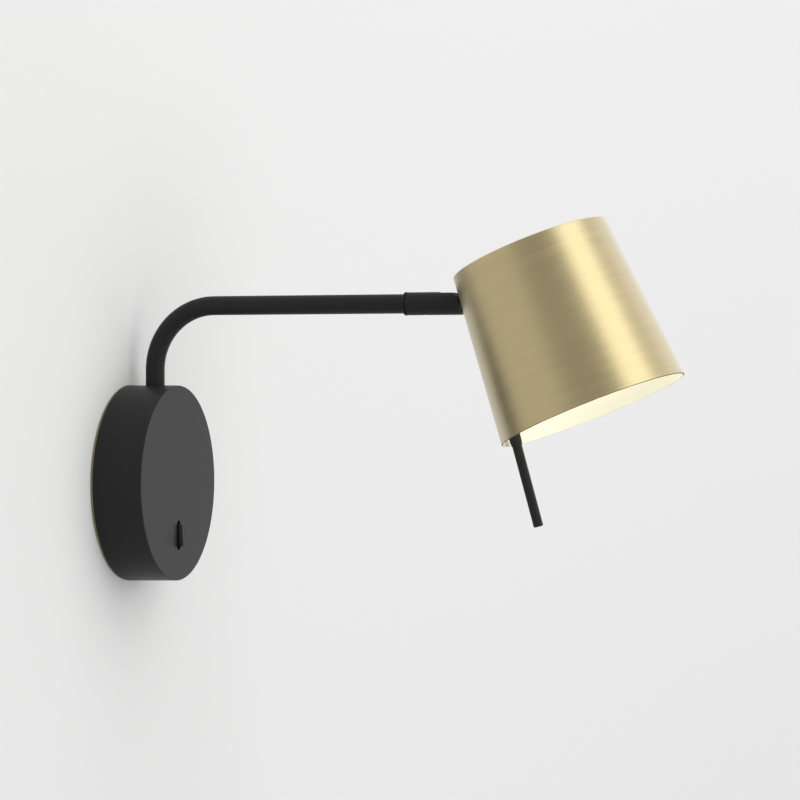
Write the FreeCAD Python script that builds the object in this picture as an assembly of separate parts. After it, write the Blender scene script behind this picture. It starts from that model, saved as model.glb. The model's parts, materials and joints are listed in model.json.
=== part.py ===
import FreeCAD, Part
import math
import os

# Swing arm wall lamp, in millimetres. The origin is the centre of the wall plate's back face, +Z is
# up, the wall is at +Y and the arm reaches into the room along -Y. "Depth" is a distance from the
# wall into the room.

# Fits
TURN_GAP = 0.05  # radial, where one piece turns in another
SIDE_GAP = 0.05  # beside a washer or flange that turns
THREAD_GAP = 0.05  # radial, round a screw in its hole
COVER_GAP = 0.3  # between the cover and what it slides over
OVERRUN = 2.0  # how far a cut runs past the piece

# Screws and nuts
M3_R = 1.5
M3_HEAD_R = 2.75
M3_HEAD_H = 1.9
M3_NUT_FLATS = 5.5
M3_NUT_T = 2.4
M4_R = 2.0
M4_HEAD_R = 3.8
M4_HEAD_H = 2.6
DRIVE_SLOT_W = 1.0
DRIVE_SLOT_DEPTH = 0.9
HEX_KEY_FLATS = 2.0
HEX_KEY_DEPTH = 1.2

# Wall plate
PLATE_RIM_INSET = 0.2  # inside the cover's rear edge
PLATE_RIM_T = 1.0
PLATE_T = 3.0
WALL_SLOT_SPACING = 60.0
WALL_SLOT_L = 10.0
WALL_SLOT_R = 2.5
CABLE_HOLE_DROP = 10.0  # below the centre
TAB_T = 3.0
TAB_W = 12.0
TAB_REACH = 10.0  # off the plate's front face
TAB_COUNT = 3
TAB_FIRST_DEG = 270.0
EARTH_X = 30.0
EARTH_DROP = 24.0
EARTH_WASHER_R = 4.6
EARTH_WASHER_T = 0.6

# Cable grommet
GROMMET_BORE_R = 6.0
GROMMET_WALL = 2.0
GROMMET_LIP = 1.6
GROMMET_LIP_T = 1.4

# Cover
COVER_REAR_R = 62.0
COVER_NARROWING = 0.5  # its radius at the face is this much smaller
COVER_WALL = 1.2
COVER_FACE_T = 1.5
COVER_EDGE_R = 0.6
TUBE_NOTCH_GAP = 0.7
COVER_SCREW_DEPTH = 8.0
COVER_SCREW_L = 5.6
COVER_SCREW_SINK = 0.3  # its top below the cover's outside

# Switch
SLOT_W = 5.6
SLOT_L = 18.9
SLOT_END_FLAT = 0.2  # the straight middle of its round ends
SLOT_TO_EDGE = 29.0  # from its middle to the cover's rear edge
SWITCH_SIDE_WALL = 2.7
SWITCH_END_WALL = 2.55
SWITCH_DEPTH = 14.0
SWITCH_EAR_L = 7.0
SWITCH_EAR_T = 2.0
SWITCH_STUD_L = 5.2
SWITCH_POCKET_DEPTH = 8.5
SWITCH_BLADE_W = 4.8
SWITCH_BLADE_T = 0.8
SWITCH_BLADE_L = 7.0
SWITCH_BLADE_PITCH = 11.0
LEVER_SIDE_GAP = 0.3  # in the slot
LEVER_END_GAP = 2.05
LEVER_OUT = 1.65  # beyond the cover's face, at mid travel
LEVER_CORNER_R = 1.0
LEVER_PLAN_R = 1.6  # its corners, seen from the front
LEVER_PIVOT_DROP = 0.45  # its pivot below the slot's middle
LEVER_PIVOT_IN = 5.0  # its pivot behind the cover's front face
LEVER_HUB_R = 2.3
LEVER_PIVOT_R = 1.0
LEVER_PIVOT_L = 1.4  # beyond each side of the lever
LEVER_HALF_TRAVEL_DEG = 4.6

# Arm tube
TUBE_R = 6.0
TUBE_WALL = 1.0
TUBE_PAST_NUT = 1.05  # below the nut at its foot
BEND_R = 40.0
ARM_Z = 111.6
TUBE_END_DEPTH = 182.45

# Arm bearing
BRACKET_T = 2.5
BRACKET_W = 36.0
LUG_LOW_Z = 6.0
LUG_HIGH_Z = 40.0
LUG_SIDE_MARGIN = 1.7  # beside the stop pins
LUG_FRONT_MARGIN = 1.5  # in front of the bush
LUG_CORNER_R = 7.0
BRACKET_SCREW_SIDE = 4.8  # from the bracket's side
BRACKET_SCREW_INSET = 8.0  # from the bracket's lower and upper end
BUSH_WALL = 1.5
BUSH_FLANGE_W = 1.95
BUSH_FLANGE_T = 1.5
BUSH_TAIL = 0.6  # past the lug
SWING_LIMIT_DEG = 75.0
STOP_RING_WALL = 3.0
STOP_RING_GAP = 2.5  # from the bracket's back
STOP_RING_H = 7.0
STOP_FINGER_W = 4.0
STOP_FINGER_PAST_PIN = 1.2  # past the middle of a pin
STOP_FINGER_GAP = 1.5  # from the inside of the cover's face
STOP_PIN_R = 1.5
STOP_PIN_GAP = 0.8  # from the bush's flange
STOP_PIN_H = 7.0
STOP_MARGIN_DEG = 0.6
SPRING_WASHER_R = 8.2
SPRING_WASHER_T = 0.8
FOOT_NUT_FLATS = 17.0
FOOT_NUT_T = 3.0

# Flex in the tube
FLEX_R = 2.4
FLEX_TAIL = 6.0  # below the tube's foot
FLEX_STOP = 0.5  # short of the ferrule

# Ferrule and journal
FERRULE_STEP = 1.25  # beyond the tube
FERRULE_L = 2.0
FERRULE_EDGE = 1.1
SPIGOT_L = 12.0
JOURNAL_R = 4.0
JOURNAL_L = 18.0
WIRE_BORE_R = 2.2
ROLL_WASHER_R = 6.3
ROLL_WASHER_T = 0.6
ROLL_GROOVE_AT = 11.5  # along the journal
ROLL_GROOVE_W = 1.8
ROLL_GROOVE_R = 3.1
ROLL_LIMIT_DEG = 150.0
ROLL_LAND_GAP = 0.15
DOG_R = 0.8
DOG_TIP_GAP = 0.1

# Swivel collar
COLLAR_R = 7.1
COLLAR_EDGE = 0.35
BORE_END_GAP = 0.3
PIN_PAST_JOURNAL = 8.85
NOSE_GAP = 0.585  # from the square end to the shade's wall, at the tilt's lower end
NOSE_R = 10.2
NOSE_DROP = 2.0  # the arc's centre below the arm's axis
FORK_FLOOR_GAP = 1.7  # under the tongue's eye
HINGE_END_WALL = 1.5
HINGE_HEAD_SINK = 1.0
TILT_WASHER_T = 0.4

# Tongue
TONGUE_T = 4.0
EYE_R = 3.9
NECK_HALF_H = 2.9
STUD_OUT = 1.2  # past its nut
NUT_SEAT_GAP = 0.15
WIRE_BUSH_R = 2.1
WIRE_BUSH_WALL = 0.4
WIRE_BUSH_L = 4.2
WIRE_NUT_GAP = 0.22  # between the wire bush and a corner of the nut

# Shade
SHADE_TOP_R = 49.5
SHADE_BOTTOM_R = 59.25
SHADE_H = 106.0
SHADE_SHEET = 1.0
SHADE_EDGE_R = 0.5
RIM_EDGE = 0.3  # broken off the rim's outer edge
WALL_LEAN_DEG = 17.0  # the rear wall, from square to the arm
SHADE_TOP_RISE = 10.93  # the top above the pin, shade upright
SHADE_WALL_AT = 9.285  # the rear wall from the pin, level with it, shade upright

# Bracket strip in the shade
STRIP_GAP = 0.05
STRIP_T = 1.5
STRIP_W = 15.0
STRIP_BOTTOM_RISE = 5.0  # above the rim
SHELF_UNDER = 4.0  # below the inside of the shade's top, its upper face
SHELF_T = 1.5
SHELF_END_R = 12.0

# Lampholder and lamp
HOLDER_WALL = 1.7
HOLDER_MIDDLE = 4.0  # between the screws' tips and the pins' tops
HOLDER_EDGE = 1.0
HOLDER_SCREW_X = 5.5
HOLDER_SCREW_L = 6.0
LAMP_POCKET_DEPTH = 6.0
LAMP_POCKET_GAP = 0.2
LAMP_BASE_R = 7.6
LAMP_BASE_H = 14.0
LAMP_R = 8.0
LAMP_H = 36.0
LAMP_PIN_PITCH = 9.0
LAMP_PIN_W = 2.8
LAMP_PIN_T = 0.8
LAMP_PIN_L = 5.0

# Leads from the wire bush to the lampholder
LEAD_R = 0.7
LEAD_PITCH = 1.7
LEAD_BEND_R = 12.0
LEAD_BEND_PAST_BUSH = 4.5  # its first corner, past the bush
LEAD_BEND_TO_HOLDER = 5.0  # its second corner, before the holder
LEAD_IN_HOLDER = 4.0
LEAD_UNDER_SHELF = 3.5

# Handle
HANDLE_OFF_WALL_DEG = 1.485  # from the rear wall's slope
HANDLE_R = 3.0
HANDLE_OUT = 53.0  # past the rim
HANDLE_TIP_R = 0.8
HANDLE_IN_SOCKET = 20.0
SOCKET_WALL = 0.65
SOCKET_STRIP_GAP = 0.8  # from the bracket strip, at the rim
SOCKET_UP = 29.0
SOCKET_CYLINDER_END = 0.6  # above the rim
SOCKET_TAPER_END = 2.0  # below the rim
SOCKET_MOUTH_WALL = 0.2
SOCKET_FOOT_W = 5.0
SOCKET_FOOT_H = 16.0
SOCKET_FOOT_LOW = 7.0  # above the rim

# Terminal block
BLOCK_TO_EDGE = 20.9  # from its middle to the cover's rear edge
BLOCK_AT_DEG = 221.05
BLOCK_W = 14.0
BLOCK_T = 12.0
BLOCK_EDGE_R = 1.0
BLOCK_WAYS_COUNT = 3
BLOCK_PITCH = 9.0
BLOCK_WIRE_R = 1.8
BLOCK_WIRE_DEPTH = 4.5  # from the plate
BLOCK_SCREW_R = 1.6
BLOCK_SCREW_L = 3.5
BLOCK_SCREW_SINK = 1.5
BLOCK_SCREW_X = 3.6

# Directions, and sizes and places that follow
X_AXIS = FreeCAD.Vector(1, 0, 0)
Y_AXIS = FreeCAD.Vector(0, 1, 0)
Z_AXIS = FreeCAD.Vector(0, 0, 1)

# Base
BUSH_R = TUBE_R + TURN_GAP + BUSH_WALL
BUSH_FLANGE_R = BUSH_R + BUSH_FLANGE_W
STOP_RING_R = TUBE_R + STOP_RING_WALL
STOP_PIN_RADIUS = BUSH_FLANGE_R + STOP_PIN_GAP + STOP_PIN_R
STOP_FINGER_R = STOP_PIN_RADIUS + STOP_FINGER_PAST_PIN
BRACKET_FRONT_DEPTH = PLATE_T + BRACKET_T
SWING_DEPTH = BRACKET_FRONT_DEPTH + STOP_RING_GAP + STOP_RING_R
FACE_BACK_DEPTH = SWING_DEPTH + STOP_FINGER_R + STOP_FINGER_GAP
COVER_DEPTH = FACE_BACK_DEPTH + COVER_FACE_T
PLATE_RIM_R = COVER_REAR_R - PLATE_RIM_INSET
CABLE_HOLE_R = GROMMET_BORE_R + GROMMET_WALL
LUG_HALF_W = STOP_PIN_RADIUS + STOP_PIN_R + LUG_SIDE_MARGIN
LUG_FRONT_DEPTH = SWING_DEPTH + BUSH_FLANGE_R + LUG_FRONT_MARGIN
BRACKET_SCREW_X = BRACKET_W / 2 - BRACKET_SCREW_SIDE
STOP_RING_Z = LUG_LOW_Z + BRACKET_T + BUSH_FLANGE_T + SIDE_GAP
SPRING_WASHER_TOP_Z = LUG_LOW_Z - BUSH_TAIL - SIDE_GAP
FOOT_NUT_TOP_Z = SPRING_WASHER_TOP_Z - SPRING_WASHER_T
SLOT_DROP = COVER_REAR_R - SLOT_TO_EDGE  # its middle below the centre
SLOT_CORNER_R = (SLOT_W - SLOT_END_FLAT) / 2
SWITCH_W = SLOT_W + 2 * SWITCH_SIDE_WALL
SWITCH_L = SLOT_L + 2 * SWITCH_END_WALL
LEVER_W = SLOT_W - 2 * LEVER_SIDE_GAP
LEVER_L = SLOT_L - 2 * LEVER_END_GAP
LEVER_DROP = SLOT_DROP + LEVER_PIVOT_DROP
BLOCK_L = BLOCK_WAYS_COUNT * BLOCK_PITCH
BLOCK_X = (COVER_REAR_R - BLOCK_TO_EDGE) * math.cos(math.radians(BLOCK_AT_DEG))
BLOCK_DROP = -(COVER_REAR_R - BLOCK_TO_EDGE) * math.sin(math.radians(BLOCK_AT_DEG))

# Arm and swivel
TUBE_BORE_R = TUBE_R - TUBE_WALL
TUBE_FOOT_Z = FOOT_NUT_TOP_Z - FOOT_NUT_T - TUBE_PAST_NUT
FERRULE_R = TUBE_R + FERRULE_STEP
FERRULE_END_DEPTH = TUBE_END_DEPTH + FERRULE_L
COLLAR_START_DEPTH = FERRULE_END_DEPTH + ROLL_WASHER_T + 2 * SIDE_GAP
PIN_DEPTH = FERRULE_END_DEPTH + JOURNAL_L + PIN_PAST_JOURNAL
NOSE_REACH = SHADE_WALL_AT - NOSE_GAP
FORK_SLOT_W = TONGUE_T + 2 * TILT_WASHER_T + 4 * SIDE_GAP
HINGE_BLIND_X = COLLAR_R - HINGE_END_WALL
HINGE_HEAD_X = COLLAR_R - HINGE_HEAD_SINK - M3_HEAD_H

# Head
SHADE_SLOPE = (SHADE_BOTTOM_R - SHADE_TOP_R) / SHADE_H
SHADE_HALF_DEG = math.degrees(math.atan(SHADE_SLOPE))
SHADE_TILT_DEG = WALL_LEAN_DEG + SHADE_HALF_DEG
SHADE_AXIS_AT = SHADE_WALL_AT + SHADE_TOP_R + SHADE_TOP_RISE * SHADE_SLOPE
SHADE_WALL_SQUARE = SHADE_WALL_AT * math.cos(math.radians(SHADE_HALF_DEG))
RIM_Z = SHADE_TOP_RISE - SHADE_H
SHELF_TOP_Z = SHADE_TOP_RISE - SHADE_SHEET - SHELF_UNDER
SHELF_Z = SHELF_TOP_Z - SHELF_T
STRIP_INSET = SHADE_SHEET + STRIP_GAP
NUT_AT = SHADE_WALL_SQUARE + STRIP_INSET + STRIP_T + NUT_SEAT_GAP
WIRE_HOLE_DROP = M3_NUT_FLATS / math.sqrt(3) + WIRE_NUT_GAP + WIRE_BUSH_R  # below the stud
HOLDER_R = LAMP_BASE_R + LAMP_POCKET_GAP + HOLDER_WALL
HOLDER_H = LAMP_POCKET_DEPTH + LAMP_PIN_L + HOLDER_MIDDLE + HOLDER_SCREW_L
LAMP_TOP_Z = SHELF_Z - HOLDER_H + LAMP_POCKET_DEPTH
SOCKET_R = HANDLE_R + THREAD_GAP + SOCKET_WALL
HANDLE_LEAN_DEG = SHADE_HALF_DEG + HANDLE_OFF_WALL_DEG
HANDLE_FROM_WALL = STRIP_INSET + STRIP_T + SOCKET_STRIP_GAP + SOCKET_R  # its axis, at the rim


def room(depth, x=0.0, z=0.0):
    """A point at a depth from the wall."""
    return FreeCAD.Vector(x, -depth, z)


def rod(radius, start, end):
    """A round bar from one point to another."""
    return Part.makeCylinder(radius, (end - start).Length, start, end - start)


def tube(radius, bore, start, end):
    return rod(radius, start, end).cut(rod(bore, start, end))


def block(x_low, x_high, depth_low, depth_high, z_low, z_high):
    corner = FreeCAD.Vector(x_low, -depth_high, z_low)
    return Part.makeBox(x_high - x_low, depth_high - depth_low, z_high - z_low, corner)


def cone(start_radius, end_radius, start, end):
    return Part.makeCone(start_radius, end_radius, (end - start).Length, start, end - start)


def fused(*solids):
    """One solid from pieces that meet."""
    return solids[0].fuse(list(solids[1:])).removeSplitter()


def moved(shape, origin, turn):
    return shape.transformed(FreeCAD.Placement(origin, turn).toMatrix(), True)


def hexagon(flats, start, end):
    """A six-sided bar with a width across flats."""
    corner = flats / math.sqrt(3)
    angles = [math.radians(60 * i) for i in range(6)]
    points = [FreeCAD.Vector(corner * math.cos(angle), corner * math.sin(angle), 0) for angle in angles]
    prism = Part.Face(Part.makePolygon(points + points[:1])).extrude(Z_AXIS * (end - start).Length)
    return moved(prism, start, FreeCAD.Rotation(Z_AXIS, end - start))


def bent_bar(radius, points, bend_radius):
    """A round bar along straight runs that are joined by arcs."""
    edges, start = [], points[0]
    for before, corner, after in zip(points, points[1:], points[2:]):
        back, ahead = (before - corner).normalize(), (after - corner).normalize()
        half_turn = (math.pi - back.getAngle(ahead)) / 2
        setback = bend_radius * math.tan(half_turn)
        middle = corner + (back + ahead).normalize() * bend_radius * (1 / math.cos(half_turn) - 1)
        arc_start, arc_end = corner + back * setback, corner + ahead * setback
        edges += [Part.makeLine(start, arc_start), Part.Arc(arc_start, middle, arc_end).toShape()]
        start = arc_end
    edges.append(Part.makeLine(start, points[-1]))
    ring = Part.Wire(Part.makeCircle(radius, points[0], points[1] - points[0]))
    return Part.Wire(edges).makePipeShell([ring], True, False)


def hex_nut(flats, bore, start, end):
    return hexagon(flats, start, end).cut(rod(bore, start, end))


def slotted_screw(radius, head_radius, head_height, tip, seat):
    """A screw from its tip to its head's seat, with the head beyond and a slot across it."""
    along = (seat - tip).normalize()
    top = seat + along * head_height
    side = Z_AXIS if abs(along.z) < abs(along.y) else X_AXIS
    across = along.cross(side)
    slot = Part.makeBox(2 * head_radius, DRIVE_SLOT_W, DRIVE_SLOT_DEPTH + OVERRUN)
    slot.translate(FreeCAD.Vector(-head_radius, -DRIVE_SLOT_W / 2, 0))
    turn = FreeCAD.Rotation(side, across, along, "ZXY")
    slot = moved(slot, top - along * DRIVE_SLOT_DEPTH, turn)
    return fused(rod(radius, tip, seat), rod(head_radius, seat, top)).cut(slot)


def grub_screw(radius, tip, top):
    """A headless screw with a hexagon socket in its top."""
    along = (top - tip).normalize()
    key = hexagon(HEX_KEY_FLATS, top - along * HEX_KEY_DEPTH, top + along * OVERRUN)
    return rod(radius, tip, top).cut(key)


def cover_radius(depth):
    """The cover's outside radius, which narrows a little towards its face."""
    share = (depth - PLATE_RIM_T) / (COVER_DEPTH - PLATE_RIM_T)
    return COVER_REAR_R - COVER_NARROWING * share


def tab_turn(index):
    return FreeCAD.Rotation(Y_AXIS, -(TAB_FIRST_DEG + index * 360 / TAB_COUNT))


def slot_prism(width, length, corner, depth_low, depth_high, z_middle):
    """An upright rounded slot as a solid."""
    solid = block(-width / 2, width / 2, depth_low, depth_high, z_middle - length / 2, z_middle + length / 2)
    edges = [edge for edge in solid.Edges if edge.BoundBox.YLength > (depth_high - depth_low) / 2]
    return solid.makeFillet(corner, edges)


def wall_slot(x):
    """One of the level slots for the wall screws."""
    half = WALL_SLOT_L / 2 - WALL_SLOT_R
    through = PLATE_T + OVERRUN
    ends = [rod(WALL_SLOT_R, room(-OVERRUN, end), room(through, end)) for end in (x - half, x + half)]
    middle = block(x - half, x + half, -OVERRUN, through, -WALL_SLOT_R, WALL_SLOT_R)
    return fused(middle, *ends)


def bracket_screw_places():
    low = LUG_LOW_Z + BRACKET_SCREW_INSET
    high = LUG_HIGH_Z + BRACKET_T - BRACKET_SCREW_INSET
    return [(x, z) for x in (-BRACKET_SCREW_X, BRACKET_SCREW_X) for z in (low, high)]


def wall_plate():
    rim = rod(PLATE_RIM_R, room(0), room(PLATE_RIM_T))
    step_radius = cover_radius(PLATE_RIM_T) - COVER_WALL - COVER_GAP
    plate = fused(rim, rod(step_radius, room(0), room(PLATE_T)))
    tab_out = cover_radius(PLATE_T + TAB_REACH) - COVER_WALL - COVER_GAP
    tab = block(tab_out - TAB_T, tab_out, 0, PLATE_T + TAB_REACH, -TAB_W / 2, TAB_W / 2)
    tab = tab.common(rod(tab_out, room(0), room(PLATE_T + TAB_REACH)))
    plate = fused(plate, *[moved(tab, room(0), tab_turn(i)) for i in range(TAB_COUNT)])
    cuts = [wall_slot(side * WALL_SLOT_SPACING / 2) for side in (-1, 1)]
    middle = -CABLE_HOLE_DROP
    cuts.append(rod(CABLE_HOLE_R, room(-OVERRUN, 0, middle), room(PLATE_T + OVERRUN, 0, middle)))
    hole = M4_R + THREAD_GAP
    for x, z in bracket_screw_places() + [(EARTH_X, -EARTH_DROP)]:
        cuts.append(rod(hole, room(-OVERRUN, x, z), room(PLATE_T + OVERRUN, x, z)))
    cover_side = -cover_radius(COVER_SCREW_DEPTH)
    cuts.append(rod(hole, room(COVER_SCREW_DEPTH), room(COVER_SCREW_DEPTH, 0, cover_side)))
    return plate.cut(cuts)


def cable_grommet():
    """A rubber ring with a lip on the room side and a groove for the plate."""
    middle = -CABLE_HOLE_DROP
    front = PLATE_T + GROMMET_LIP_T
    sleeve = rod(CABLE_HOLE_R, room(0, 0, middle), room(front, 0, middle))
    lip = rod(CABLE_HOLE_R + GROMMET_LIP, room(PLATE_T, 0, middle), room(front, 0, middle))
    bore = rod(GROMMET_BORE_R, room(-OVERRUN, 0, middle), room(front + OVERRUN, 0, middle))
    return fused(sleeve, lip).cut(bore)


def cover():
    outer = cone(COVER_REAR_R, cover_radius(COVER_DEPTH), room(PLATE_RIM_T), room(COVER_DEPTH))
    front = [edge for edge in outer.Edges if edge.BoundBox.YMax < -FACE_BACK_DEPTH]
    outer = outer.makeFillet(COVER_EDGE_R, front)
    rear_bore = cover_radius(PLATE_RIM_T - OVERRUN) - COVER_WALL
    front_bore = cover_radius(FACE_BACK_DEPTH) - COVER_WALL
    shell = outer.cut(cone(rear_bore, front_bore, room(PLATE_RIM_T - OVERRUN), room(FACE_BACK_DEPTH)))
    notch = TUBE_R + TUBE_NOTCH_GAP
    high = COVER_REAR_R + OVERRUN
    cuts = [
        rod(notch, room(SWING_DEPTH, 0, LUG_HIGH_Z), room(SWING_DEPTH, 0, high)),
        block(-notch, notch, -OVERRUN, SWING_DEPTH, LUG_HIGH_Z, high),
        slot_prism(SLOT_W, SLOT_L, SLOT_CORNER_R, SWING_DEPTH, COVER_DEPTH + OVERRUN, -SLOT_DROP),
        rod(M4_R + THREAD_GAP, room(COVER_SCREW_DEPTH), room(COVER_SCREW_DEPTH, 0, -high)),
    ]
    studs = [
        rod(M3_R, room(FACE_BACK_DEPTH + COVER_FACE_T / 2, 0, z), room(FACE_BACK_DEPTH - SWITCH_STUD_L, 0, z))
        for z in switch_stud_heights()
    ]
    return fused(shell.cut(cuts), *studs)


def cover_screw():
    top = cover_radius(COVER_SCREW_DEPTH) - COVER_SCREW_SINK
    return grub_screw(M4_R, room(COVER_SCREW_DEPTH, 0, COVER_SCREW_L - top), room(COVER_SCREW_DEPTH, 0, -top))


def switch_stud_heights():
    reach = (SWITCH_L + SWITCH_EAR_L) / 2
    return (-SLOT_DROP - reach, -SLOT_DROP + reach)


def switch_body():
    """The switch's housing, with ears on the cover's studs and a pocket that the lever rocks in."""
    back = FACE_BACK_DEPTH - SWITCH_DEPTH
    low, high = -SLOT_DROP - SWITCH_L / 2, -SLOT_DROP + SWITCH_L / 2
    half = SWITCH_W / 2
    body = block(-half, half, back, FACE_BACK_DEPTH, low, high)
    ear_back = FACE_BACK_DEPTH - SWITCH_EAR_T
    ears = block(-half, half, ear_back, FACE_BACK_DEPTH, low - SWITCH_EAR_L, high + SWITCH_EAR_L)
    pocket_back = FACE_BACK_DEPTH - SWITCH_POCKET_DEPTH
    cuts = [slot_prism(SLOT_W, SLOT_L, SLOT_CORNER_R, pocket_back, COVER_DEPTH, -SLOT_DROP)]
    pivot = COVER_DEPTH - LEVER_PIVOT_IN
    reach = LEVER_W / 2 + LEVER_PIVOT_L + SIDE_GAP
    left, right = room(pivot, -reach, -LEVER_DROP), room(pivot, reach, -LEVER_DROP)
    cuts.append(rod(LEVER_PIVOT_R + TURN_GAP, left, right))
    for z in switch_stud_heights():
        cuts.append(rod(M3_R + THREAD_GAP, room(back, 0, z), room(COVER_DEPTH, 0, z)))
    return fused(body, ears).cut(cuts)


def switch_nuts():
    start = FACE_BACK_DEPTH - SWITCH_EAR_T - M3_NUT_T
    nuts = [
        hex_nut(M3_NUT_FLATS, M3_R + THREAD_GAP, room(start, 0, z), room(start + M3_NUT_T, 0, z))
        for z in switch_stud_heights()
    ]
    return Part.makeCompound(nuts)


def switch_blades():
    back = FACE_BACK_DEPTH - SWITCH_DEPTH
    half = SWITCH_BLADE_W / 2
    blades = []
    for side in (-1, 1):
        low = -SLOT_DROP + side * SWITCH_BLADE_PITCH / 2 - SWITCH_BLADE_T / 2
        blades.append(block(-half, half, back - SWITCH_BLADE_L, back, low, low + SWITCH_BLADE_T))
    return Part.makeCompound(blades)


def switch_lever():
    """The rocker: a flat outer face, sides that draw in to a hub, and a pivot each side."""
    out = LEVER_PIVOT_IN + LEVER_OUT
    half = LEVER_L / 2
    hub_back = -LEVER_HUB_R / 2
    outline = [
        (half, out), (half, out / 2), (LEVER_HUB_R, hub_back),
        (-LEVER_HUB_R, hub_back), (-half, out / 2), (-half, out),
    ]
    points = [room(depth, -LEVER_W / 2, z) for z, depth in outline]
    body = Part.Face(Part.makePolygon(points + points[:1])).extrude(X_AXIS * LEVER_W)
    front = [edge for edge in body.Edges if edge.BoundBox.YMax < -LEVER_PIVOT_IN]
    body = body.makeFillet(LEVER_CORNER_R, [edge for edge in front if edge.BoundBox.XLength > LEVER_W / 2])
    body = body.common(slot_prism(LEVER_W, LEVER_L, LEVER_PLAN_R, -LEVER_HUB_R, out + OVERRUN, 0))
    reach = LEVER_W / 2 + LEVER_PIVOT_L
    pivot = rod(LEVER_PIVOT_R, room(0, -reach), room(0, reach))
    hub = rod(LEVER_HUB_R, room(0, -LEVER_W / 2), room(0, LEVER_W / 2))
    turn = FreeCAD.Rotation(X_AXIS, -LEVER_HALF_TRAVEL_DEG)
    return moved(fused(body, hub, pivot), room(COVER_DEPTH - LEVER_PIVOT_IN, 0, -LEVER_DROP), turn)


def terminal_places():
    return [-BLOCK_DROP + (i - (BLOCK_WAYS_COUNT - 1) / 2) * BLOCK_PITCH for i in range(BLOCK_WAYS_COUNT)]


def terminal_screw_places():
    return [(BLOCK_X + side * BLOCK_SCREW_X, z) for side in (-1, 1) for z in terminal_places()]


def terminal_block():
    front = PLATE_T + BLOCK_T
    left, right = BLOCK_X - BLOCK_W / 2, BLOCK_X + BLOCK_W / 2
    body = block(left, right, PLATE_T, front, -BLOCK_DROP - BLOCK_L / 2, -BLOCK_DROP + BLOCK_L / 2)
    middle_y = -PLATE_T - BLOCK_T / 2
    body = body.makeFillet(BLOCK_EDGE_R, [edge for edge in body.Edges if edge.BoundBox.YMax < middle_y])
    depth = PLATE_T + BLOCK_WIRE_DEPTH
    cuts = []
    for z in terminal_places():
        cuts.append(rod(BLOCK_WIRE_R, room(depth, left - OVERRUN, z), room(depth, right + OVERRUN, z)))
    for x, z in terminal_screw_places():
        bottom = front - BLOCK_SCREW_SINK - BLOCK_SCREW_L
        cuts.append(rod(BLOCK_SCREW_R + THREAD_GAP, room(bottom, x, z), room(front + OVERRUN, x, z)))
    return body.cut(cuts)


def terminal_screws():
    top = PLATE_T + BLOCK_T - BLOCK_SCREW_SINK
    screws = []
    for x, z in terminal_screw_places():
        left, right, half = x - BLOCK_SCREW_R, x + BLOCK_SCREW_R, DRIVE_SLOT_W / 2
        slot = block(left, right, top - DRIVE_SLOT_DEPTH, top + OVERRUN, z - half, z + half)
        screws.append(rod(BLOCK_SCREW_R, room(top - BLOCK_SCREW_L, x, z), room(top, x, z)).cut(slot))
    return Part.makeCompound(screws)


def earth_washer():
    seat = room(PLATE_T, EARTH_X, -EARTH_DROP)
    return tube(EARTH_WASHER_R, M4_R + THREAD_GAP, seat, seat - Y_AXIS * EARTH_WASHER_T)


def earth_screw():
    seat = room(PLATE_T + EARTH_WASHER_T, EARTH_X, -EARTH_DROP)
    return slotted_screw(M4_R, M4_HEAD_R, M4_HEAD_H, room(PLATE_RIM_T / 2, EARTH_X, -EARTH_DROP), seat)


def arm_bracket():
    """A channel screwed to the plate, whose two lugs carry the tube."""
    top = LUG_HIGH_Z + BRACKET_T
    back = block(-BRACKET_W / 2, BRACKET_W / 2, PLATE_T, BRACKET_FRONT_DEPTH, LUG_LOW_Z, top)
    lugs = []
    for low in (LUG_LOW_Z, LUG_HIGH_Z):
        lug = block(-LUG_HALF_W, LUG_HALF_W, PLATE_T, LUG_FRONT_DEPTH, low, low + BRACKET_T)
        front = [edge for edge in lug.Edges if edge.BoundBox.YMax < -SWING_DEPTH]
        corners = [edge for edge in front if edge.BoundBox.ZLength > BRACKET_T / 2]
        lugs.append(lug.makeFillet(LUG_CORNER_R, corners))
    cuts = [rod(BUSH_R, room(SWING_DEPTH), room(SWING_DEPTH, 0, top + OVERRUN))]
    for x, z in bracket_screw_places():
        cuts.append(rod(M4_R + THREAD_GAP, room(0, x, z), room(BRACKET_FRONT_DEPTH + OVERRUN, x, z)))
    for place in stop_pin_places():
        cuts.append(rod(STOP_PIN_R, place, place + Z_AXIS * (BRACKET_T + OVERRUN)))
    return fused(back, *lugs).cut(cuts)


def bracket_screws():
    screws = []
    for x, z in bracket_screw_places():
        tip, seat = room(PLATE_RIM_T / 2, x, z), room(BRACKET_FRONT_DEPTH, x, z)
        screws.append(slotted_screw(M4_R, M4_HEAD_R, M4_HEAD_H, tip, seat))
    return Part.makeCompound(screws)


def bush(lug_z):
    """A flanged bush, its flange on top of the lug."""
    flange_z = lug_z + BRACKET_T
    top = room(SWING_DEPTH, 0, flange_z + BUSH_FLANGE_T)
    sleeve = rod(BUSH_R, room(SWING_DEPTH, 0, lug_z - BUSH_TAIL), top)
    flange = rod(BUSH_FLANGE_R, room(SWING_DEPTH, 0, flange_z), top)
    bore = rod(TUBE_R + TURN_GAP, room(SWING_DEPTH), room(SWING_DEPTH, 0, flange_z + OVERRUN))
    return fused(sleeve, flange).cut(bore)


def lower_bush():
    return bush(LUG_LOW_Z)


def upper_bush():
    return bush(LUG_HIGH_Z)


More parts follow.
